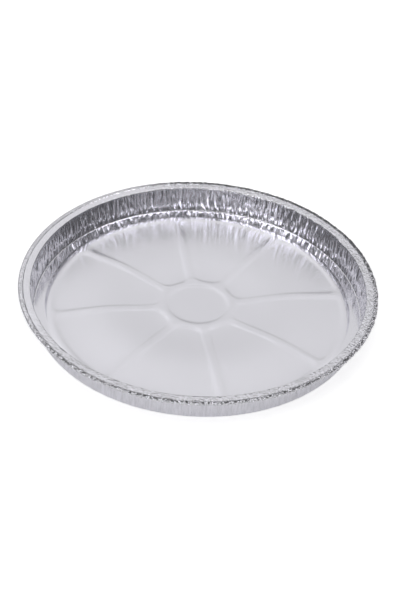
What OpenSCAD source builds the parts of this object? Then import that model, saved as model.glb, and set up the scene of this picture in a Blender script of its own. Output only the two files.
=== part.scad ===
// Round shallow pan pressed from one sheet of foil, for baking and serving a pie.
// Millimetres, +Z up. The origin is the centre of the underside, on the table.
// The sheet is followed as one section from the middle of the floor out to the end of the rolled edge
// and back along its underside, so both faces keep the same distance everywhere.

/* [Sheet] */
// thickness of the sheet as modelled
foil = 0.4; // [0.2:0.05:0.8]
// diameter over the rolled edge
rim_d = 305; // [290:1:340]
// height over all, from the table to the top of the rolled edge
pan_h = 25.3; // [16:0.1:45]

/* [Rolled edge and flange] */
// width of the rolled edge
curl_w = 4.7; // [3:0.1:7]
// height of the rolled edge
curl_h = 3; // [2.4:0.1:5]
// width of the flat flange between the wall and the rolled edge
flange_w = 5.6; // [2:0.1:12]
// how far the flange lies below the top of the rolled edge
flange_drop = 0.9; // [0.3:0.1:1.2]

/* [Pleated wall] */
// diameter of the wall at its foot, outside
foot_d = 280.8; // [274:0.2:284]
// radius of the fold between the wall and the base, outside
foot_round = 1.2; // [1:0.1:2]
// height of the plain strip between that fold and the pleats
foot_h = 0.8; // [0.3:0.1:3]
// height of the plain shoulder between the pleats and the flange
shoulder_h = 0.7; // [0.5:0.1:3]
// how the wall leans out, where 1 is a plain cone and more keeps it upright below and flares it above
wall_flare = 2.2; // [1:0.1:3]
// pleats over each panel
pleats_per_panel = 20; // [10:5:25]
// depth of a pleat from fold to fold
wall_pleat = 0.8; // [0.1:0.1:1.6]
// number that sets how the pleats vary
pleat_seed = 7; // [1:1:99]

/* [Base] */
// width of the plain base between the wall and the outer bead
band_w = 9.3; // [5:0.1:14]
// diameter of the centre bead, along its crest
centre_bead_d = 58.4; // [50:0.2:90]
// number of ribs, with a panel between each two
ribs = 8; // [6:1:10]
// angle of the first rib from +X
rib_turn = 11.7; // [0:0.1:45]
// width of a bead or rib
bead_w = 9.8; // [6:0.1:12]
// width of the rounded top of a bead or rib
bead_top_w = 4.4; // [2:0.1:5.5]
// height of a bead or rib over the panels
bead_h = 0.7; // [0.3:0.1:2]
// radius of a panel's corners
corner_r = 5; // [3:0.1:8]
// how far panels and ribs bulge up half way along
floor_rise = 2.3; // [0:0.1:5]

/* [Hidden] */

// faces round a panel's inner arc, outer arc and corner, and along its bulge
inner_segs = 3;
outer_segs = 8;
corner_segs = 3;
rise_segs = 6;
// how far round its own centre the sheet is rolled, as a direction seen in the section
curl_end = -150;
// share of the bead's height that is reached at the edge of its top
crown = 0.82;
// heights at which each pleat has points
pleat_rows = 3;
// least depth of a pleat as a share of the deepest, and its shift round the wall as a share of its width
shallow = 0.35;
shift = 0.25;

sector = 360 / ribs;
rim_r = rim_d / 2;
foot_r = foot_d / 2;
curl_r = rim_r - curl_w / 2;
curl_z = pan_h - curl_h / 2;
flange_z = pan_h - flange_drop;
groove = 180 - asin((flange_z - curl_z) / (curl_h / 2));
groove_r = curl_r + curl_w / 2 * cos(groove);
wall_r = groove_r - flange_w;
inner_r = centre_bead_d / 2;
outer_r = foot_r - band_w - bead_w / 2;
edge = bead_w / 2;
top = bead_top_w / 2;

// a point at radius r, direction a and height z, rounded so that shared corners meet exactly
function at(r, a, z) = [for (v = [r * cos(a), r * sin(a), z]) round(v * 10000) / 10000];

// the same, from a place x along a rib and y to its left
function beside(x, y, a, z) = at(norm([x, y]), a + atan2(y, x), z);

// centre of a panel's corner, along the rib and to its left: at the centre bead, then at the outer one
corner_y = edge + corner_r;
inner_corner = [sqrt(pow(inner_r + edge + corner_r, 2) - pow(corner_y, 2)), corner_y];
outer_corner = [sqrt(pow(outer_r - edge - corner_r, 2) - pow(corner_y, 2)), corner_y];
inner_turn = atan2(inner_corner[1], inner_corner[0]);
outer_turn = atan2(outer_corner[1], outer_corner[0]);

// directions within one sector at which an arc has a corner, from one panel corner to the next
function arc(turn, segs) = [for (i = [0 : segs]) turn + (sector - 2 * turn) * i / segs];

// directions all round a bead: each rib's own, then those of the panel beyond it
function round_bead(turn, segs) = [
    for (k = [0 : ribs - 1], a = concat([0], arc(turn, segs))) rib_turn + sector * k + a
];

// A place of a panel's outline is given along the rib, to its left and up by the bulge.
// one rounded corner of a panel, o outside the panel's own edge, from direction a0 to a1 round its centre
function corner(c, o, a0, a1) = [
    for (i = [0 : corner_segs])
        let (a = a0 + (a1 - a0) * i / corner_segs)
        [c[0] + (corner_r + o) * cos(a), c[1] + (corner_r + o) * sin(a), 0]
];

// places along the bulge between two corners, y to the left of the rib
function bulge(y) = [
    for (i = [1 : rise_segs - 1])
        let (t = i / rise_segs)
        [inner_corner[0] + (outer_corner[0] - inner_corner[0]) * t, y, floor_rise * pow(sin(180 * t), 2)]
];

// places turned back from the next rib, so that a panel's second half mirrors its first
function mirrored(p) = [
    p[0] * cos(sector) + p[1] * sin(sector),
    p[0] * sin(sector) - p[1] * cos(sector),
    p[2]
];

// one side of a panel from the inner arc to the outer arc
function side(o) = concat(
    corner(inner_corner, o, 180 + inner_turn, 270),
    bulge(edge - o),
    corner(outer_corner, o, -90, outer_turn)
);

// the same side on the crest lines of the beads and the rib, where a corner's inside meets at a point
function crest_side() = concat(
    [[inner_r * cos(inner_turn), inner_r * sin(inner_turn), 0]],
    [for (i = [2 : corner_segs]) [inner_r, 0, 0]],
    [[inner_corner[0], 0, 0]],
    bulge(0),
    [[outer_corner[0], 0, 0]],
    [for (i = [2 : corner_segs]) [outer_r, 0, 0]],
    [[outer_r * cos(outer_turn), outer_r * sin(outer_turn), 0]]
);

// the arc between a panel's two corners, without its ends
function between(r, turn, segs) = [
    for (i = [1 : segs - 1])
        let (a = arc(turn, segs)[i])
        [r * cos(a), r * sin(a), 0]
];

function reversed(list) = [for (i = [len(list) - 1 : -1 : 0]) list[i]];

// a panel's closed outline, made of one side, the outer arc, the mirrored side and the inner arc
function outline(one_side, r_in, r_out) = concat(
    one_side,
    between(r_out, outer_turn, outer_segs),
    reversed([for (p = one_side) mirrored(p)]),
    reversed(between(r_in, inner_turn, inner_segs))
);

function placed(places, k, z) = [for (p = places) beside(p[0], p[1], rib_turn + sector * k, z + p[2])];

// faces of a panel within its outline: a flat inner end, a flat outer end and the bulge between them
function panel(a) = let (
    first = corner_segs,
    last = corner_segs + rise_segs,
    across = 2 * (last + corner_segs) + outer_segs
) concat(
    [[for (i = [0 : first]) a[i], for (i = [across - first : len(a) - 1]) a[i]]],
    [[for (i = [last : across - last]) a[i]]],
    [for (i = [first : last - 1], f = [
        [a[i], a[i + 1], a[across - i - 1]],
        [a[i], a[across - i - 1], a[across - i]]
    ]) f]
);

// faces between two outlines with the same number of places, leaving out those that close to a line
function strip(a, b) = [
    for (i = [0 : len(a) - 1])
        let (j = (i + 1) % len(a))
        for (f = [[a[i], b[i], b[j]], [a[i], b[j], a[j]]])
            if (f[0] != f[1] && f[1] != f[2] && f[2] != f[0]) f
];

// faces between a loop and one that has a whole number of times as many places
function fan(few, many) = let (n = len(many), m = n / len(few), h = floor(m / 2)) [
    for (i = [0 : len(few) - 1])
        let (j = (i + 1) % len(few), start = i * m)
        each concat(
            [for (q = [0 : m - 1]) [few[q < h ? i : j], many[start + q], many[(start + q + 1) % n]]],
            [[few[i], many[start + h], few[j]]]
        )
];

function flipped(faces) = [for (f = faces) reversed(f)];

function joined(a, b) =
    len(a) == len(b) ? strip(a, b) :
    len(a) < len(b) ? fan(a, b) :
    flipped(fan(b, a));

// the floor out to the crest of the outer bead, with one face of the sheet at height z
function floor_faces(z) = let (
    steps = [[edge, 0], [top, crown * bead_h], [0, bead_h]],
    turns = round_bead(inner_turn, inner_segs),
    rings = [for (s = steps) [for (a = turns) at(inner_r - s[0], a, z + s[1])]],
    low = outline(side(0), inner_r + edge, outer_r - edge),
    high = outline(side(edge - top), inner_r + top, outer_r - top),
    crest = outline(crest_side(), inner_r, outer_r)
) concat(
    [rings[0]],
    strip(rings[0], rings[1]),
    strip(rings[1], rings[2]),
    [for (k = [0 : ribs - 1]) each let (
        a = placed(low, k, z),
        b = placed(high, k, z + crown * bead_h),
        c = placed(crest, k, z + bead_h)
    ) concat(panel(a), strip(a, b), strip(b, c))]
);

// loops round the outer bead and round a plain part of the section
function bead_loop(o, z) = [for (a = round_bead(outer_turn, outer_segs)) at(outer_r + o, a, z)];
function plain_loop(r, z) = [
    for (i = [0 : plain_count - 1]) at(r, rib_turn + 360 * i / plain_count, z)
];

plain_count = ribs * (outer_segs + 2);
folds = 2 * pleats_per_panel * ribs;
fold_depth = rands(shallow, 1, pleat_rows * folds, pleat_seed);
fold_shift = rands(-shift, shift, folds, pleat_seed + 1);

// a pleated loop of the wall, whose folds stand out and in by turns
function wall_loop(r, z, row) = [
    for (i = [0 : folds - 1])
        let (stand = (i % 2 == 0 ? 1 : -1) * fold_depth[i + row * folds])
        at(r + wall_pleat / 2 * stand, rib_turn + 360 * (i + fold_shift[i]) / folds, z)
];

pleats_low = foot_round + foot_h;
pleats_high = flange_z - shoulder_h - foil;

// radius of the outside of the wall at height z
function wall_at(z) =
    foot_r + (wall_r - foot_r) * pow((z - foot_round) / (flange_z - foot_round), wall_flare);

// the section of one face: s is 1 on the upper face of the sheet and 0 on its underside
function sheet_loops(s) = let (
    z = foil * s,
    in = foil * s,
    curl_a = curl_w / 2 - foil * (1 - s),
    curl_b = curl_h / 2 - foil * (1 - s),
    start = 180 - asin((flange_z - curl_z - foil * (1 - s)) / curl_b)
) concat(
    [bead_loop(0, z + bead_h), bead_loop(top, z + crown * bead_h), bead_loop(edge, z)],
    [for (a = [-90, -45, 0])
        plain_loop(foot_r - foot_round + (foot_round - in) * cos(a), foot_round + (foot_round - in) * sin(a))],
    [for (row = [0 : pleat_rows - 1])
        let (h = pleats_low + (pleats_high - pleats_low) * row / (pleat_rows - 1))
        wall_loop(wall_at(h) - in, h, row)],
    [plain_loop(wall_r + (1 - s) * foil / 2, flange_z - foil * (1 - s))],
    [for (a = [start, 90, 45, 0, -45, -90, curl_end])
        plain_loop(curl_r + curl_a * cos(a), curl_z + curl_b * sin(a))]
);

module tin() {
    loops = concat(sheet_loops(1), reversed(sheet_loops(0)));
    faces = concat(
        floor_faces(foil),
        [for (i = [0 : len(loops) - 2]) each joined(loops[i], loops[i + 1])],
        flipped(floor_faces(0))
    );
    starts = [for (i = 0, n = 0; i < len(faces); n = n + len(faces[i]), i = i + 1) n];
    color("silver")
        polyhedron(
            points = [for (f = faces) each f],
            faces = [for (i = [0 : len(faces) - 1]) [for (j = [len(faces[i]) - 1 : -1 : 0]) starts[i] + j]],
            convexity = 12
        );
}

tin();
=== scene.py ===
# Round foil pan on a white table. Metres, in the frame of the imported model, +Z up.
import bpy
import math
from mathutils import Matrix, Vector, noise


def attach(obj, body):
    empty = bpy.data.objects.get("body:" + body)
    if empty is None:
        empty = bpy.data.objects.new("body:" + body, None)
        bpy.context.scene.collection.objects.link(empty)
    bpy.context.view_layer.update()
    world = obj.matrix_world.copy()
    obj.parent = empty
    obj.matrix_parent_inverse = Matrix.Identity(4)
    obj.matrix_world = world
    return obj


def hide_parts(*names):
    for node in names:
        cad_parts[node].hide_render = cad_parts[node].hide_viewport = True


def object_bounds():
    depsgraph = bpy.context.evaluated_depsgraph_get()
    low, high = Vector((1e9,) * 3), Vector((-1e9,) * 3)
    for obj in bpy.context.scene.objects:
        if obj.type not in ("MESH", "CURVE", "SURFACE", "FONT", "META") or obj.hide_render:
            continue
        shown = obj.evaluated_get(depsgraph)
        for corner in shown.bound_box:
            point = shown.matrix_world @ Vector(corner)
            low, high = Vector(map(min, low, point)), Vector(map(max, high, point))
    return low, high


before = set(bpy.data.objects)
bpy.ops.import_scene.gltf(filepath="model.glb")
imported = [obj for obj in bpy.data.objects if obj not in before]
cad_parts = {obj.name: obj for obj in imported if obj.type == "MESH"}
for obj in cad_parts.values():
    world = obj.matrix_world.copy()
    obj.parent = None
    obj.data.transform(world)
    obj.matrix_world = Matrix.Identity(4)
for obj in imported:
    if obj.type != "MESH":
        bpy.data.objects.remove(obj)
cadLow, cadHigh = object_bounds()
bpy.ops.object.select_all(action="DESELECT")  # the load leaves the solids selected

mm = 0.001
slack = 0.1 * mm  # for telling which stretch of the sheet a point is on

# the section of the pan, as in the part's source
section = {
    "rimRadius": cadHigh.x - 0.03 * mm,  # a hair inside the solid's box
    "height": cadHigh.z,
    "sheet": 0.22 * mm,        # foil thickness, with what a solid needs to be closed
    "curlWidth": 4.7 * mm,
    "curlHeight": 3.0 * mm,
    "flangeWidth": 5.6 * mm,
    "flangeDrop": 1.1 * mm,
    "shoulderRound": 0.4 * mm,
    "footRadius": 140.4 * mm,
    "footRound": 1.2 * mm,
    "wallFlare": 2.2,          # 1 is a plain cone, more is upright below and flares above
}

# the pressed base: outer bead, ribs and centre bead
base = {
    "bandWidth": 9.3 * mm,
    "centreBeadRadius": 29.2 * mm,
    "ribs": 8,
    "ribTurn": math.radians(11.7),
    "beadWidth": 9.8 * mm,
    "beadHeight": 0.7 * mm,
    "beadCrown": 0.12,         # share of the height that its rounded top adds
    "beadSlope": 2.9 * mm,     # width of each flank of a bead
    "outerSlope": 1.5 * mm,    # and of the outer bead's flank towards the wall, at the back
    "softSlope": 3.8 * mm,     # and of that flank at the sides and the front
    "softFlank": (10 * mm, 75 * mm),  # where along Y it changes from one to the other
    "innerSlope": 4.0 * mm,    # and of its flank towards the centre
    "cornerRadius": 5.0 * mm,
    "ribFade": 0.55,           # share of the height that a rib keeps near the centre
    "ribGrowth": (55 * mm, 100 * mm),  # the radii between which it gains the rest
    "bulge": 2.3 * mm,         # the panels rise half way out
    "bulgeMargin": 0.3,        # corner radii between a bead and the start of the bulge
    "unevenness": 0.10 * mm,
    "unevenPitch": 35 * mm,
}

# how many points go round each stretch of the sheet
around = {"rim": 900, "wall": 1120, "floor": 480, "middle": 120}

# where the rows of points lie, from the end of the roll to the middle of the base
rowsAt = {
    "roll": (-150, -105, -60, -25, 5, 35, 60, 85, 110, 132, 150),  # degrees round the roll
    "flange": (0.06, 0.36, 0.68, 1.0),       # shares of the way from the groove inwards
    "shoulder": (35, 75),                    # degrees round its fold
    "wall": (0.94, 0.86, 0.77, 0.67, 0.57, 0.47, 0.37, 0.27, 0.18, 0.10, 0.04),  # shares of its height
    "foot": (10, 35, 62, 90),                # degrees round its fold
    "band": (0.5, 0.03),                     # shares of its width
    "outerFlank": (0.06, 0.35, 0.65, 0.94, 1.1, 2.0),  # shares of outerSlope
    "outerBead": (0, -0.22, -0.42, -0.62, -0.82),      # shares of half a bead from its middle
    "panelEdge": (0.1, 0.4, 0.8, 1.3),       # corner radii in from the outer bead
    "panel": (2.2, 7, 2.0),                  # corner radii left at its ends, and the steps between
    "centreEdge": (1.2, 0.7, 0.3),           # corner radii out from the centre bead
    "centreBead": (0.92, 0.7, 0.48, 0, -0.48, -0.7, -0.92),
    "middle": (22, 17, 11.5, 6),             # radii in millimetres
}


def curlCentre():
    radius = section["rimRadius"] - section["curlWidth"] / 2
    height = section["height"] - section["curlHeight"] / 2
    return radius, height


def flangeLevel():
    return section["height"] - section["flangeDrop"]


# the direction, seen in the section, in which the roll leaves the flange
def curlStart():
    rise = (flangeLevel() - curlCentre()[1]) / (section["curlHeight"] / 2)
    return math.pi - math.asin(rise)


def wallTopRadius():
    return curlCentre()[0] + section["curlWidth"] / 2 * math.cos(curlStart()) - section["flangeWidth"]


def outerBeadRadius():
    return section["footRadius"] - base["bandWidth"] - base["beadWidth"] / 2


# radius of the inside of the wall at height z
def wallRadius(z):
    s = section
    lean = wallTopRadius() - s["footRadius"] + s["sheet"]
    share = (z - s["footRound"]) / (flangeLevel() - s["footRound"])
    return s["footRadius"] - s["sheet"] + lean * share ** s["wallFlare"]


# the rolled edge from its end under the rim, over the top, then the flange
def rimRows():
    s = section
    radius, height = curlCentre()
    turns = [math.radians(a) for a in rowsAt["roll"]]
    rows = []
    for a in turns + [curlStart()]:
        rows.append((radius + s["curlWidth"] / 2 * math.cos(a), height + s["curlHeight"] / 2 * math.sin(a)))
    inner = wallTopRadius() + s["shoulderRound"]
    groove = rows[-1][0]
    for share in rowsAt["flange"]:
        rows.append((groove + (inner - groove) * share, flangeLevel()))
    return rows


# shoulder and wall, going down to the fold at the foot
def wallRows():
    q = section["shoulderRound"]
    top = wallTopRadius()
    rows = []
    for turn in rowsAt["shoulder"]:
        a = math.radians(turn)
        rows.append((top + q * (1 - math.sin(a)), flangeLevel() - q * (1 - math.cos(a))))
    for share in rowsAt["wall"]:
        z = section["footRound"] + (flangeLevel() - section["footRound"]) * share
        rows.append((wallRadius(z), z))
    return rows


# fold at the foot, plain band, outer bead, panels and centre bead, going in
def floorRows():
    s, b, at = section, base, rowsAt
    fold = s["footRound"] - s["sheet"]
    start = s["footRadius"] - s["footRound"]
    rows = []
    for turn in at["foot"]:
        a = math.radians(turn)
        rows.append((start + fold * math.cos(a), s["footRound"] - fold * math.sin(a)))
    half = b["beadWidth"] / 2
    outer = outerBeadRadius()
    inner = b["centreBeadRadius"]
    corner = b["cornerRadius"]
    radii = [outer + half + (rows[-1][0] - outer - half) * share for share in at["band"]]
    radii += [outer + half - b["outerSlope"] * share for share in at["outerFlank"]]
    radii += [outer + half * share for share in at["outerBead"]]
    radii += [outer - half - corner * share for share in at["panelEdge"]]
    outerGap, steps, innerGap = at["panel"]
    first, last = outer - half - corner * outerGap, inner + half + corner * innerGap
    radii += [first + (last - first) * i / steps for i in range(steps + 1)]
    radii += [inner + half + corner * share for share in at["centreEdge"]]
    radii += [inner + half * share for share in at["centreBead"]]
    return rows + [(r, s["sheet"]) for r in radii]


# a circle of edges at the first row, extruded and scaled to each row after it
def extrudeRows(count, rows):
    radius, height = rows[0]
    bpy.ops.mesh.primitive_circle_add(
        vertices=count, radius=radius, fill_type="NOTHING",
        location=(0, 0, height), rotation=(0, 0, base["ribTurn"] - math.pi / 2))
    for (r0, z0), (r1, z1) in zip(rows, rows[1:]):
        bpy.ops.mesh.extrude_region_move(TRANSFORM_OT_translate={"value": (0, 0, z1 - z0)})
        bpy.ops.transform.resize(value=(r1 / r0, r1 / r0, 1), center_override=(0, 0, z1))


# selects the edges that lie along the circles with the given radius and height
def selectRings(mesh, places):
    near = 0.002 * mm
    bpy.ops.object.mode_set(mode="OBJECT")
    chosen = set()
    for v in mesh.vertices:
        r = math.hypot(v.co.x, v.co.y)
        if any(abs(r - pr) < near and abs(v.co.z - pz) < near for pr, pz in places):
            chosen.add(v.index)
    for v in mesh.vertices:
        v.select = v.index in chosen
    for e in mesh.edges:
        e.select = e.vertices[0] in chosen and e.vertices[1] in chosen
    for f in mesh.polygons:
        f.select = False
    bpy.ops.object.mode_set(mode="EDIT")


def clamp(t):
    return min(max(t, 0.0), 1.0)


def easeIn(t):
    return math.sin(clamp(t) * math.pi / 2) ** 2


# a bead's height in shares of its full height, a way in from its edge
def beadShare(way, slope, straight=0.0):
    ramp = easeIn(way / slope)
    ramp += (clamp(way / slope) - ramp) * straight
    crown = base["beadCrown"]
    return (1 - crown) * ramp + crown * easeIn(2 * way / base["beadWidth"])


# how far a direction is turned from the nearest rib
def turnFromRib(angle):
    sector = 2 * math.pi / base["ribs"]
    return (angle - base["ribTurn"] + sector / 2) % sector - sector / 2


# height of the pressed beads at a place of the base
def beadRise(radius, angle):
    b = base
    half = b["beadWidth"] / 2
    outer = outerBeadRadius()
    inner = b["centreBeadRadius"]
    if radius < inner:
        return b["beadHeight"] * beadShare(radius - inner + half, b["beadSlope"])
    if radius > outer:
        low, high = b["softFlank"]
        soft = easeIn((high - radius * math.sin(angle)) / (high - low))
        slope = b["outerSlope"] + (b["softSlope"] - b["outerSlope"]) * soft
        return b["beadHeight"] * beadShare(outer + half - radius, slope, 1 - soft)
    fromRib = half - radius * math.sin(abs(turnFromRib(angle)))
    fromEnds = max(inner + half - radius, radius - outer + half)
    c = b["cornerRadius"]
    if fromEnds + c > 0 and fromRib + c > 0:
        way = math.hypot(fromEnds + c, fromRib + c) - c
    else:
        way = max(fromEnds, fromRib)
    low, high = b["ribGrowth"]
    fade = b["ribFade"] + (1 - b["ribFade"]) * easeIn((radius - low) / (high - low))
    fade += (1 - fade) * easeIn(1 + fromEnds / half)
    nearOuter = easeIn((radius - outer + half + 2 * c) / (2 * c))
    slope = b["beadSlope"] + (b["innerSlope"] - b["beadSlope"]) * nearOuter
    return b["beadHeight"] * fade * beadShare(way, slope)


def bulgeRise(radius):
    b = base
    margin = b["beadWidth"] / 2 + b["bulgeMargin"] * b["cornerRadius"]
    inner = b["centreBeadRadius"] + margin
    outer = outerBeadRadius() - margin
    t = clamp((radius - inner) / (outer - inner))
    return b["bulge"] * math.sin(math.pi * t) ** 2


# columns of points in the base, which run parallel to a rib where they are near it
ribColumns = {
    "near": 0.2,               # share of the columns that follow a rib
    "reach": 0.56,             # in bead widths from its middle
    "start": (30 * mm, 36 * mm),  # the radii between which they swing in
    "mostTurn": 0.7,           # sine of the most that they turn aside
}


# moves a column of the base so that it runs parallel to a rib near it
def alongRibs(angle, radius):
    b, c = base, ribColumns
    halfSector = math.pi / b["ribs"]
    turn = turnFromRib(angle)
    share = abs(turn) / halfSector
    edge = math.asin(min(c["mostTurn"], b["beadWidth"] * c["reach"] / radius))
    if share < c["near"]:
        moved = math.asin(math.sin(edge) * share / c["near"])
    else:
        moved = edge + (halfSector - edge) * (share - c["near"]) / (1 - c["near"])
    low, high = c["start"]
    blend = easeIn((radius - low) / (high - low))
    return angle + math.copysign((moved - abs(turn)) * blend, turn)


# a place for noise that closes on itself round the pan
def ringPlace(angle, pitch, height, stretch, seed):
    f = section["footRadius"] / pitch
    return Vector((f * math.cos(angle), f * math.sin(angle), height / stretch + 19.7 * seed))


def ringNoise(angle, pitch, height, stretch, seed):
    return noise.noise(ringPlace(angle, pitch, height, stretch, seed))


# sharp crests with round hollows between them, from about -0.5 to 0.5
def ridge(angle, pitch, height, stretch, seed):
    bend = ringNoise(angle, 5 * pitch, height, stretch * 0.6, seed + 5)
    angle += 0.5 * pitch / section["footRadius"] * bend
    return 0.5 - 2.4 * abs(ringNoise(angle, pitch, height, stretch, seed))


# small flat facets that meet in creases, from 0 to about 1
def facets(angle, pitch, height, stretch, seed):
    return noise.voronoi(ringPlace(angle, pitch, height, stretch, seed))[0][0]


# gathers of the wall; pitches go round the pan and lengths upwards
wallFolds = {
    "count": 160,              # pleats at the foot
    "countAbove": 290,         # finer ones under the flange
    "depth": 0.26 * mm,
    "depthAbove": 0.8,         # share of that depth for the finer ones
    "depthByHeight": (1.1, 0.7),  # share at the foot, and how much of it is lost at the top
    "leastSize": 0.75,         # pleats vary in size from this up
    "sizeChange": 0.9,
    "sizePitch": 25 * mm,
    "sizeLength": 20 * mm,
    "wander": (0.9, 30 * mm, 30 * mm),  # in pleats, with its pitch and length
    "shiver": (0.7, 7 * mm, 9 * mm),
    "sharpness": 0.28,         # of a pleat's raised side
    "sharpTurn": 0.8,
    "deepTurn": math.radians(52),  # the side on which the folds are deepest
    "deepSpread": 0.35,
    "deepPleats": 0.5,         # how much deeper the pleats are there
    "deepCrepe": (0.8, 0.2),   # share of the crepe elsewhere, and what is added there
    "crepeDepth": 0.50 * mm,
    "crepePitch": 2.6 * mm,
    "crepeLength": 26 * mm,
    "fineDepth": 0.36 * mm,
    "finePitch": 1.8 * mm,
    "fineLength": 9 * mm,
    "fadeIn": 9,               # the folds fade out within 1/9 of the height at each end
    "keptAtTop": 0.3,          # but keep this share under the flange
    "seeds": {"size": 71, "pleats": 81, "pleatsAbove": 84, "crepe": 91, "fine": 95},
}


# a wavering pleat from -1 to 1, sharper on its raised side
def pleat(count, angle, height, seed):
    w = wallFolds
    waver = 0.0
    for i, (share, pitch, stretch) in enumerate((w["wander"], w["shiver"])):
        waver += share * ringNoise(angle, pitch, height, stretch, seed + i)
    phase = count * angle + 2 * math.pi * waver
    return math.sin(phase) + w["sharpness"] * math.sin(2 * phase + w["sharpTurn"])


# how far a point of the wall stands out or in
def wallDepth(angle, z):
    w = wallFolds
    seeds = w["seeds"]
    t = z / flangeLevel()
    fade = min(1, w["fadeIn"] * t) * min(1, w["fadeIn"] * (1 - t) + w["keptAtTop"])
    near = (angle - w["deepTurn"] + math.pi) % (2 * math.pi) - math.pi
    deep = math.exp(-near ** 2 / w["deepSpread"])
    atFoot, lost = w["depthByHeight"]
    size = w["leastSize"] + w["deepPleats"] * deep * (atFoot - t)
    size += w["sizeChange"] * abs(ringNoise(angle, w["sizePitch"], z, w["sizeLength"], seeds["size"]))
    below = w["depth"] * size * (atFoot - lost * t) * pleat(w["count"], angle, z, seeds["pleats"])
    above = w["depth"] * w["depthAbove"] * t * pleat(w["countAbove"], angle, z, seeds["pleatsAbove"])
    elsewhere, added = w["deepCrepe"]
    crepe = w["crepeDepth"] * (elsewhere + added * deep)
    crepe *= ridge(angle, w["crepePitch"], z, w["crepeLength"], seeds["crepe"])
    fine = w["fineDepth"] * ridge(angle, w["finePitch"], z, w["fineLength"], seeds["fine"])
    return fade * (below + above + crepe + fine)


# dents of the rolled edge and creases of the flange
rimFolds = {
    "dents": 0.9 * mm,
    "dentLevel": 0.12,         # how far the facets' middles stand out, in shares of the dents
    "dentTop": 0.1,            # the most that one stands out
    "dentPitch": 2.6 * mm,
    "creaseShare": 0.2,        # of the creases that cross the dents
    "creasePitch": 3 * mm,
    "creaseLength": 9 * mm,
    "rollArm": 0.6,            # in curl widths, from turns round the roll to lengths
    "flangeCreases": 0.20 * mm,
    "flangePitch": (3.4 * mm, 6 * mm),  # of its creases, round the pan and across
    "flangeWaves": 0.40 * mm,
    "wavePitch": (6 * mm, 5 * mm),
    "smoothTurn": math.radians(160),  # the side on which the rim is nearly smooth
    "smoothShare": 0.25,       # the depth of its dents there
    "smoothEdge": (60 * mm, 120 * mm),  # how far out that way the change begins and ends
    "seeds": {"dents": 51, "creases": 53, "flange": 61, "waves": 62},
}


# the depth of the rim's dents at a place, from 1 down to smoothShare
def rimShare(x, y):
    f = rimFolds
    low, high = f["smoothEdge"]
    way = x * math.cos(f["smoothTurn"]) + y * math.sin(f["smoothTurn"])
    return 1 - (1 - f["smoothShare"]) * easeIn((way - low) / (high - low))


# how far a point of the rolled edge stands out, seen across the roll
def rollDent(angle, across):
    f = rimFolds
    seeds = f["seeds"]
    way = math.atan2(across.y, across.x) * f["rollArm"] * section["curlWidth"]
    dents = f["dentLevel"] - facets(angle, f["dentPitch"], way, f["dentPitch"], seeds["dents"])
    dents += f["creaseShare"] * ridge(angle, f["creasePitch"], way, f["creaseLength"], seeds["creases"])
    return f["dents"] * min(dents, f["dentTop"])


def flangeRise(angle, radius):
    f = rimFolds
    pitch, stretch = f["flangePitch"]
    rise = f["flangeCreases"] * ridge(angle, pitch, radius, stretch, f["seeds"]["flange"])
    pitch, stretch = f["wavePitch"]
    return rise + f["flangeWaves"] * ringNoise(angle, pitch, radius, stretch, f["seeds"]["waves"])


# a UV map with each point's place on the flat sheet that the pan was pressed from
def layBlank(mesh, rows):
    reach = []
    length = 0.0
    last = (0.0, section["sheet"])
    for r, z in rows:
        length += math.hypot(r - last[0], z - last[1])
        reach.append((r, z, length))
        last = (r, z)
    known = {}
    layer = mesh.uv_layers.new(name="blank")
    places = []
    for v in mesh.vertices:
        r = math.hypot(v.co.x, v.co.y)
        key = (round(r / mm, 2), round(v.co.z / mm, 2))
        if key not in known:
            ways = [(abs(r - a) + abs(v.co.z - c), way) for a, c, way in reach]
            known[key] = min(ways)[1] if r > mm else 0.0
        turn = math.atan2(v.co.y, v.co.x)
        places.append((known[key] * math.sin(turn), known[key] * math.cos(turn)))
    for loop in mesh.loops:
        layer.data[loop.index].uv = places[loop.vertex_index]


# presses the beads, the bulge, the gathers and the dents into the plain turned shape
def shapeSheet(mesh):
    s = section
    curlR, curlZ = curlCentre()
    floorEdge = s["footRadius"] - s["footRound"] + slack
    rollEdge = curlR - s["curlWidth"] / 2 - slack
    flangeUnder = flangeLevel() - slack
    for v in mesh.vertices:
        r = math.hypot(v.co.x, v.co.y)
        a = math.atan2(v.co.y, v.co.x)
        z = v.co.z
        out = 0.0
        rise = 0.0
        if z < s["footRound"] and r < floorEdge:
            if r > mm:
                a = alongRibs(a, r)
            rise = beadRise(r, a) + bulgeRise(r)
            lumps = noise.noise(Vector((r * math.cos(a), r * math.sin(a), 0.3)) / base["unevenPitch"])
            rise += base["unevenness"] * (0.5 + lumps)
        elif r > rollEdge:
            across = Vector((r - curlR, z - curlZ)).normalized()
            push = rollDent(a, across) * rimShare(v.co.x, v.co.y)
            out = across.x * push
            rise = across.y * push
        elif z > flangeUnder:
            rise = flangeRise(a, r) * rimShare(v.co.x, v.co.y)
        else:
            out = wallDepth(a, z)
        r += out
        v.co = (r * math.cos(a), r * math.sin(a), max(z + rise, s["sheet"]))
    mesh.update()


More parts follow.
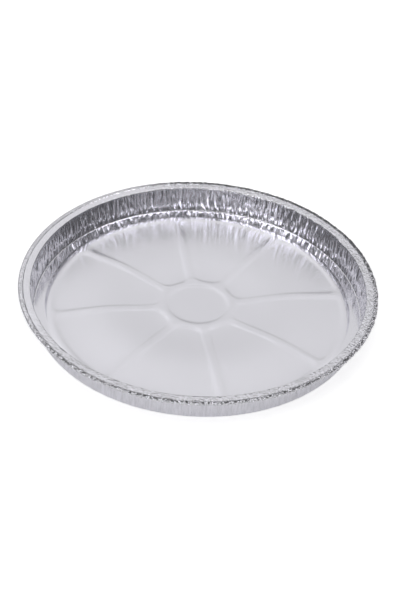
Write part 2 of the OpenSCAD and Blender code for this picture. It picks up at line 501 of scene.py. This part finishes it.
# the whole pan: turned stretches, bridged, pressed and given a thickness
def makeSheet():
    bpy.ops.mesh.primitive_circle_add(vertices=8, radius=0.01)
    piece = bpy.context.object
    piece.name = "foilPan"
    mesh = piece.data
    mesh.name = "foilPan"
    rim, wall, floor = rimRows(), wallRows(), floorRows()
    middle = [(r * mm, section["sheet"]) for r in rowsAt["middle"]]
    bpy.ops.object.mode_set(mode="EDIT")
    bpy.ops.mesh.delete(type="VERT")
    stretches = [rim, wall, floor, middle]
    for count, rows in zip(around.values(), stretches):
        extrudeRows(count, rows)
    for upper, lower in zip(stretches, stretches[1:]):
        selectRings(mesh, [upper[-1], lower[0]])
        bpy.ops.mesh.bridge_edge_loops()
    selectRings(mesh, [middle[-1]])
    bpy.ops.mesh.edge_face_add()
    bpy.ops.mesh.poke()
    bpy.ops.mesh.select_all(action="SELECT")
    bpy.ops.mesh.normals_make_consistent(inside=False)
    bpy.ops.object.mode_set(mode="OBJECT")
    centre = min(mesh.polygons, key=lambda f: f.center.length)
    if centre.normal.z < 0:
        mesh.flip_normals()
    layBlank(mesh, (rim + wall + floor + middle)[::-1])
    shapeSheet(mesh)
    print("sheet pressed", len(mesh.vertices), "points", len(mesh.polygons), "faces")
    solid = piece.modifiers.new("thickness", "SOLIDIFY")
    solid.thickness = section["sheet"]
    solid.offset = -1
    bpy.ops.object.modifier_apply(modifier="thickness")
    bpy.ops.object.shade_smooth()
    # the lowest points come down onto the table
    low = min(v.co.z for v in mesh.vertices)
    for v in mesh.vertices:
        v.co.z = min(v.co.z - low, section["height"])
    print("sheet closed", sum(len(f.vertices) - 2 for f in mesh.polygons), "triangles")
    return piece


# sets a socket to a number or a row of numbers, or links another node's output to it
def feed(tree, value, socket):
    if isinstance(value, (int, float, tuple)):
        socket.default_value = value
    else:
        tree.links.new(value, socket)


# a Math node with its inputs set or linked
def mathNode(tree, operation, *values):
    n = tree.nodes.new("ShaderNodeMath")
    n.operation = operation
    for value, socket in zip(values, n.inputs):
        feed(tree, value, socket)
    return n.outputs[0]


def times(tree, first, second):
    return mathNode(tree, "MULTIPLY", first, second)


def greater(tree, first, second):
    return mathNode(tree, "MAXIMUM", first, second)


# a Vector Math node that puts out a vector or, by its name, a value
def vectorNode(tree, operation, *values, output="Vector"):
    n = tree.nodes.new("ShaderNodeVectorMath")
    n.operation = operation
    for value, socket in zip(values, n.inputs):
        feed(tree, value, socket)
    return n.outputs[output]


# a smooth step from least to most while value goes over the span
def stepNode(tree, value, span, least, most):
    n = tree.nodes.new("ShaderNodeMapRange")
    n.interpolation_type = "SMOOTHSTEP"
    feed(tree, value, n.inputs["Value"])
    for name, number in zip(("From Min", "From Max", "To Min", "To Max"), (*span, least, most)):
        feed(tree, number, n.inputs[name])
    return n.outputs["Result"]


# noise around zero at the given place
def noiseNode(tree, place, pitch, detail):
    n = tree.nodes.new("ShaderNodeTexNoise")
    n.inputs["Scale"].default_value = 1 / pitch
    n.inputs["Detail"].default_value = detail
    feed(tree, place, n.inputs["Vector"])
    return mathNode(tree, "SUBTRACT", n.outputs["Fac"], 0.5)


# a span of places given from a middle
def spanAt(middle, span):
    return middle + span[0], middle + span[1]


# the finish of the foil, with painted shade in its colour along the wall's creases and in the roll's folds
finish = {
    "colour": (0.853, 0.846, 0.90, 1),
    "rolled": 1.0,             # how much more the foil blurs along the table's depth than across it
    "satin": 0.21,             # roughness of the floor within the outer bead
    "bright": 0.12,            # and of all round it
    "satinEdge": (-4 * mm, 3 * mm),  # the change, from the middle of the outer bead
    "patches": 0.03,           # how much the roughness varies in patches
    "mottling": 0.03 * mm,     # how high those patches stand
    "mottlingPitch": 9 * mm,
    "rollingLines": 0.006 * mm,
    "rollingPitch": 1.6 * mm,
    "rollingStretch": (0.06, 1, 1),
    "floorEdge": (-1.0 * mm, 0.5 * mm),  # end of the floor, from where the foot's fold begins
    "rimEdge": (-1.6 * mm, -0.6 * mm),   # start of the rim, from the flange down
    "crepe": 0.34 * mm,        # fine upright creases of the wall
    "crepePitch": 1.6 * mm,
    "crepeUpright": 0.16,      # less makes them longer
    "crepeDetail": 1.5,
    "paintedCreaseShade": 0.38,         # how much painted shade and light the colour gets along them
    "crinkle": 2.6 * mm,       # of the rolled edge
    "flangeCrinkle": 1.2 * mm,
    "crinkleEdge": 1 * mm,     # the width over which one becomes the other
    "crinklePitch": 2.0 * mm,
    "crinkleDetail": 2.0,
    "paintedFoldShade": 0.22,          # painted shade in the folds of the rolled edge: the colour's share there
    "foldShadeEdge": (-0.10, 0.03),  # the crinkle's levels between which such a fold's painted shade fades out
    "moreFoldShadeBehind": 0.13,        # how much more of that painted shade the back half has
    "behind": (0.0, 60 * mm),  # where along Y the back half begins
    "foldShadeStart": (1.2 * mm, 2.4 * mm),  # in from the roll's middle, at the front and at the back
    "foldShadeFade": (0.0, 0.6 * mm),
    "foldShadeCrest": (0.5 * mm, 1.0 * mm),  # over the roll's middle
}


# the fine relief of the foil as a height in metres, its roughness, and the painted shade that darkens and
# lightens its colour along the wall's creases and in the roll's folds
def reliefAndPaintedShadeGroup():
    f = finish
    tree = bpy.data.node_groups.new("foilReliefAndPaintedShade", "ShaderNodeTree")
    tree.interface.new_socket("Place", in_out="INPUT", socket_type="NodeSocketVector")
    for name in ("Height", "Roughness", "PaintedShade"):
        tree.interface.new_socket(name, in_out="OUTPUT", socket_type="NodeSocketFloat")
    start = tree.nodes.new("NodeGroupInput")
    end = tree.nodes.new("NodeGroupOutput")
    place = start.outputs["Place"]
    flat = vectorNode(tree, "MULTIPLY", place, (1, 1, 0))
    radius = vectorNode(tree, "LENGTH", flat, output="Value")
    split = tree.nodes.new("ShaderNodeSeparateXYZ")
    tree.links.new(place, split.inputs[0])
    y, z = split.outputs["Y"], split.outputs["Z"]
    # masks of the floor, the wall and the rim
    floorRadius = section["footRadius"] - section["footRound"]
    offFloor = stepNode(tree, radius, spanAt(floorRadius, f["floorEdge"]), 0.0, 1.0)
    onFloor = mathNode(tree, "SUBTRACT", 1.0, offFloor)
    onRim = stepNode(tree, z, spanAt(flangeLevel(), f["rimEdge"]), 0.0, 1.0)
    onWall = times(tree, offFloor, mathNode(tree, "SUBTRACT", 1.0, onRim))
    # creases of the wall keep their place round the pan at every height
    ring = vectorNode(tree, "MULTIPLY", vectorNode(tree, "NORMALIZE", flat), (floorRadius, floorRadius, 0.0))
    upright = vectorNode(tree, "MULTIPLY", place, (0.0, 0.0, f["crepeUpright"]))
    crepe = noiseNode(tree, vectorNode(tree, "ADD", ring, upright), f["crepePitch"], f["crepeDetail"])
    # painted shade and light along the wall's creases: the colour is darker in some of them and lighter in
    # others
    paintedShadeFactor = mathNode(tree, "ADD", times(tree, times(tree, crepe, onWall), f["paintedCreaseShade"]), 1.0)
    crepe = times(tree, crepe, f["crepe"])
    # crinkle of the rim, with painted shade in the folds on the crest of the roll
    crinkle = noiseNode(tree, place, f["crinklePitch"], f["crinkleDetail"])
    foldShade = mathNode(tree, "SUBTRACT", crinkle, stepNode(tree, y, f["behind"], 0.0, f["moreFoldShadeBehind"]))
    foldShade = stepNode(tree, foldShade, f["foldShadeEdge"], 1.0, 0.0)
    curlR, curlZ = curlCentre()
    atFront, atBack = f["foldShadeStart"]
    inner = stepNode(tree, y, f["behind"], curlR - atFront, curlR - atBack)
    onCurl = stepNode(tree, mathNode(tree, "SUBTRACT", radius, inner), f["foldShadeFade"], 0.0, 1.0)
    crest = stepNode(tree, z, spanAt(curlZ, f["foldShadeCrest"]), 0.0, 1.0)
    foldShade = times(tree, foldShade, times(tree, onCurl, crest))
    curlEdge = spanAt(curlR - section["curlWidth"] / 2, (0.0, f["crinkleEdge"]))
    crinkle = times(tree, crinkle, stepNode(tree, radius, curlEdge, f["flangeCrinkle"], f["crinkle"]))
    # the crinkle and the painted fold shade are both weaker on the smooth side of the rim
    turn = rimFolds["smoothTurn"]
    way = vectorNode(tree, "DOT_PRODUCT", place, (math.cos(turn), math.sin(turn), 0.0), output="Value")
    smooth = stepNode(tree, way, rimFolds["smoothEdge"], 1.0, rimFolds["smoothShare"])
    crinkle = times(tree, crinkle, smooth)
    # the colour's share left by the painted shade in the folds
    foldShade = mathNode(tree, "MULTIPLY_ADD", times(tree, foldShade, smooth), f["paintedFoldShade"] - 1, 1.0)
    feed(tree, times(tree, paintedShadeFactor, foldShade), end.inputs["PaintedShade"])
    # lines left by rolling and faint patches on the floor
    stretched = vectorNode(tree, "MULTIPLY", place, f["rollingStretch"])
    lines = noiseNode(tree, stretched, f["rollingPitch"], 1)
    mottling = noiseNode(tree, place, f["mottlingPitch"], 2)
    grain = mathNode(tree, "MULTIPLY_ADD", mottling, f["mottling"], times(tree, lines, f["rollingLines"]))
    total = mathNode(tree, "MULTIPLY_ADD", crinkle, onRim, times(tree, crepe, onWall))
    feed(tree, mathNode(tree, "MULTIPLY_ADD", grain, onFloor, total), end.inputs["Height"])
    within = stepNode(tree, radius, spanAt(outerBeadRadius(), f["satinEdge"]), 1.0, 0.0)
    duller = times(tree, within, f["satin"] - f["bright"])
    patches = mathNode(tree, "MULTIPLY_ADD", mottling, f["patches"], f["bright"])
    feed(tree, mathNode(tree, "ADD", duller, patches), end.inputs["Roughness"])
    return tree


def foilMaterial():
    m = bpy.data.materials.new("foil")
    m.use_nodes = True
    nodes, links = m.node_tree.nodes, m.node_tree.links
    shader = nodes["Principled BSDF"]
    shader.inputs["Metallic"].default_value = 1.0
    shader.inputs["Base Color"].default_value = finish["colour"]
    shader.inputs["Anisotropic"].default_value = finish["rolled"]
    along = nodes.new("ShaderNodeTangent")
    along.direction_type = "UV_MAP"
    along.uv_map = "blank"
    links.new(along.outputs["Tangent"], shader.inputs["Tangent"])
    coord = nodes.new("ShaderNodeTexCoord")
    relief = nodes.new("ShaderNodeGroup")
    relief.node_tree = reliefAndPaintedShadeGroup()
    links.new(coord.outputs["Object"], relief.inputs["Place"])
    links.new(relief.outputs["Roughness"], shader.inputs["Roughness"])
    # the foil's colour times the painted shade of the wall's creases and the roll's folds
    shaded = nodes.new("ShaderNodeVectorMath")
    shaded.operation = "SCALE"
    shaded.inputs[0].default_value = finish["colour"][:3]
    links.new(relief.outputs["PaintedShade"], shaded.inputs["Scale"])
    links.new(shaded.outputs[0], shader.inputs["Base Color"])
    bump = nodes.new("ShaderNodeBump")
    bump.inputs["Distance"].default_value = 1.0
    links.new(relief.outputs["Height"], bump.inputs["Height"])
    links.new(bump.outputs["Normal"], shader.inputs["Normal"])
    return m


# camera fitted to the rim, the foot and the centre bead of the photograph
rimSize = 152.5 * mm
view = {
    "focalPixels": 1400.0,
    "frameHeight": 601,
    "sensor": 36.0,
    "distance": 7.9076 * rimSize,
    "elevation": math.radians(38.5797),
    "roll": math.radians(3.4634),
    "aim": Vector((0.0148, 0.0383, 0.0)) * rimSize,
}


def makeCamera():
    e, q = view["elevation"], view["roll"]
    forward = Vector((0, math.cos(e), -math.sin(e)))
    right = Vector((1, 0, 0))
    up = Vector((0, math.sin(e), math.cos(e)))
    across = right * math.cos(q) + up * math.sin(q)
    above = up * math.cos(q) - right * math.sin(q)
    data = bpy.data.cameras.new("camera")
    data.sensor_fit = "AUTO"
    data.sensor_width = view["sensor"]
    data.lens = view["focalPixels"] / view["frameHeight"] * data.sensor_width
    data.clip_start = 0.01
    data.clip_end = 50
    camera = bpy.data.objects.new("camera", data)
    turn = Matrix((across, above, -forward)).transposed().to_4x4()
    camera.matrix_world = Matrix.Translation(view["aim"] - forward * view["distance"]) @ turn
    bpy.context.scene.collection.objects.link(camera)
    bpy.context.scene.camera = camera
    print("camera placed")


# the lamp, and the room that the foil mirrors; the pairs of numbers are the parts of a
# direction between which a light or a shade fades, with x to the right, y away and z up
studio = {
    "fill": 0.75,              # light that matt things get from all round
    "lampPower": 1.2,
    "lampWidth": 0.60,
    "lampHeight": 0.42,
    "lampPlace": (-0.57, -0.68, 0.92),
    "leftGain": 0.30,          # how much lighter the left is than the middle
    "ceiling": 0.82,
    "ceilingUp": (0.80, 0.92),
    "ceilingAway": (0.0, 0.22),
    "ceilingBehind": 0.2,      # its share over the camera
    "strips": 11,              # upright light strips all round the room
    "stripEdge": 3.0,          # more makes them narrower
    "room": 0.11,              # the strips' lower ends
    "betweenLow": 0.5,         # light between those, as a share of theirs
    "overheadLeft": 3.0,       # the strips' upper ends over the camera, on the left
    "overheadRight": 4.0,      # and on the right
    "overheadAcross": (-0.1, 0.3),
    "overheadUp": (0.67, 0.79),
    "overheadTop": (0.84, 0.90),
    "overheadAway": (-0.05, 0.15),
    "lowerLeft": 0.04,         # how much lower they start on the left
    "lowerRight": 0.02,        # and on the right
    "lowerAcross": (-0.3, 0.0),
    "between": 0.15,           # light between them in the middle
    "betweenAside": 0.4,       # and away from it
    "betweenAcross": (0.05, 0.3),
    "farWallLow": 0.66,        # the pale far wall at table height
    "farWallRise": 0.20,       # and how much lighter it gets upwards
    "farWallAway": (0.05, 0.45),
    "farWallAside": (0.45, 0.8),
    "farWallEnds": 0.5,        # its share at the sides
    "bars": 18.0,              # it has level bars, which only the creased foil shows
    "darkBar": 0.624,          # height of a dark one, as a sine
    "barContrast": 0.15,
    "horizonLeft": 0.55,       # the far wall's share low over the table's far edge, on the left
    "horizonRight": 0.05,      # and on the right
    "horizonAcross": (-0.35, 0.05),
    "horizonUp": (0.12, 0.40),
    "lowGlow": 0.8,            # the pale ground near the horizon behind the camera
    "lowGlowUp": (0.10, 0.22),
}


# what the foil mirrors in each direction
def roomLevel(tree):
    s = studio
    coord = tree.nodes.new("ShaderNodeTexCoord")
    split = tree.nodes.new("ShaderNodeSeparateXYZ")
    tree.links.new(coord.outputs["Generated"], split.inputs[0])
    x, y, z = split.outputs
    aside = mathNode(tree, "ABSOLUTE", x)
    behind = times(tree, y, -1.0)
    ceiling = stepNode(tree, z, s["ceilingUp"], 0.0, s["ceiling"])
    ceiling = times(tree, ceiling, stepNode(tree, y, s["ceilingAway"], s["ceilingBehind"], 1.0))
    # strips with dark between them, the widest dark one being behind the camera
    turn = mathNode(tree, "ARCTAN2", x, behind)
    wave = mathNode(tree, "COSINE", times(tree, turn, s["strips"]))
    strip = mathNode(tree, "POWER", mathNode(tree, "MULTIPLY_ADD", wave, -0.5, 0.5), s["stripEdge"])
    # their upper ends are bright lamps over the camera
    lower = stepNode(tree, x, s["lowerAcross"], s["lowerLeft"], s["lowerRight"])
    strength = stepNode(tree, x, s["overheadAcross"], s["overheadLeft"], s["overheadRight"])
    overhead = stepNode(tree, mathNode(tree, "ADD", lower, z), s["overheadUp"], 0.0, strength)
    overhead = times(tree, overhead, stepNode(tree, z, s["overheadTop"], 1.0, 0.0))
    overhead = times(tree, overhead, stepNode(tree, y, s["overheadAway"], 1.0, 0.0))
    between = stepNode(tree, aside, s["betweenAcross"], s["between"], s["betweenAside"])
    overhead = times(tree, overhead, mathNode(tree, "ADD", strip, between))
    # the far wall with its bars, and dark low over the table's far edge
    wall = mathNode(tree, "MULTIPLY_ADD", z, s["farWallRise"], s["farWallLow"])
    wall = times(tree, wall, stepNode(tree, y, s["farWallAway"], 0.0, 1.0))
    wall = times(tree, wall, stepNode(tree, aside, s["farWallAside"], 1.0, s["farWallEnds"]))
    phase = times(tree, mathNode(tree, "SUBTRACT", z, s["darkBar"]), s["bars"])
    bars = mathNode(tree, "COSINE", phase)
    wall = times(tree, wall, mathNode(tree, "MULTIPLY_ADD", bars, -s["barContrast"], 1.0))
    dark = stepNode(tree, x, s["horizonAcross"], s["horizonLeft"], s["horizonRight"])
    clear = stepNode(tree, z, s["horizonUp"], 0.0, 1.0)
    wall = times(tree, wall, greater(tree, dark, clear))
    lowStrips = times(tree, mathNode(tree, "ADD", strip, s["betweenLow"]), s["room"])
    glow = times(tree, stepNode(tree, z, s["lowGlowUp"], s["lowGlow"], 0.0), behind)
    level = greater(tree, ceiling, overhead)
    for light in (wall, lowStrips, glow):
        level = greater(tree, level, light)
    left = greater(tree, times(tree, x, -s["leftGain"]), 0.0)
    return times(tree, level, mathNode(tree, "ADD", left, 1.0))


def makeStudio():
    world = bpy.data.worlds.new("studio")
    bpy.context.scene.world = world
    world.use_nodes = True
    tree = world.node_tree
    nodes, links = tree.nodes, tree.links
    nodes.clear()
    out = nodes.new("ShaderNodeOutputWorld")
    path = nodes.new("ShaderNodeLightPath")
    reflected = nodes.new("ShaderNodeBackground")
    links.new(roomLevel(tree), reflected.inputs["Color"])
    fill = nodes.new("ShaderNodeBackground")
    fill.inputs["Strength"].default_value = studio["fill"]
    white = nodes.new("ShaderNodeBackground")
    for n in (fill, white):
        n.inputs["Color"].default_value = (1, 1, 1, 1)
    seen = greater(tree, path.outputs["Is Camera Ray"], path.outputs["Is Transmission Ray"])
    first = nodes.new("ShaderNodeMixShader")
    links.new(path.outputs["Is Glossy Ray"], first.inputs[0])
    links.new(fill.outputs[0], first.inputs[1])
    links.new(reflected.outputs[0], first.inputs[2])
    second = nodes.new("ShaderNodeMixShader")
    links.new(seen, second.inputs[0])
    links.new(first.outputs[0], second.inputs[1])
    links.new(white.outputs[0], second.inputs[2])
    links.new(second.outputs[0], out.inputs[0])
    lamp = bpy.data.lights.new("softLamp", "AREA")
    lamp.shape = "RECTANGLE"
    lamp.size = studio["lampWidth"]
    lamp.size_y = studio["lampHeight"]
    lamp.energy = studio["lampPower"]
    holder = bpy.data.objects.new("softLamp", lamp)
    holder.location = studio["lampPlace"]
    holder.rotation_euler = (-holder.location).to_track_quat("-Z", "Y").to_euler()
    holder.visible_camera = False
    bpy.context.scene.collection.objects.link(holder)
    bpy.context.scene.view_settings.view_transform = "Standard"
    print("studio lit")


# the white ground, which looks white to the camera and keeps the pan's shadow
ground = {
    "size": 40,
    "matt": 0.8,
    "glow": 0.56,
    "glowMirrored": 0.3,       # share of the glow that the foil mirrors
}


def makeTable():
    bpy.ops.mesh.primitive_plane_add(size=ground["size"], location=(0, 0, 0))
    table = bpy.context.object
    table.name = "table"
    m = bpy.data.materials.new("tableWhite")
    m.use_nodes = True
    tree = m.node_tree
    nodes, links = tree.nodes, tree.links
    nodes.clear()
    out = nodes.new("ShaderNodeOutputMaterial")
    diffuse = nodes.new("ShaderNodeBsdfDiffuse")
    diffuse.inputs["Color"].default_value = (ground["matt"], ground["matt"], ground["matt"], 1)
    glow = nodes.new("ShaderNodeEmission")
    path = nodes.new("ShaderNodeLightPath")
    mirrored = times(tree, path.outputs["Is Glossy Ray"], ground["glowMirrored"])
    seen = greater(tree, path.outputs["Is Camera Ray"], mirrored)
    links.new(times(tree, seen, ground["glow"]), glow.inputs["Strength"])
    both = nodes.new("ShaderNodeAddShader")
    links.new(diffuse.outputs[0], both.inputs[0])
    links.new(glow.outputs[0], both.inputs[1])
    links.new(both.outputs[0], out.inputs["Surface"])
    table.data.materials.append(m)
    print("table laid")


makeCamera()
pan = makeSheet()
pan.data.materials.append(foilMaterial())
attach(pan, "root")
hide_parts("tin")
makeTable()
makeStudio()
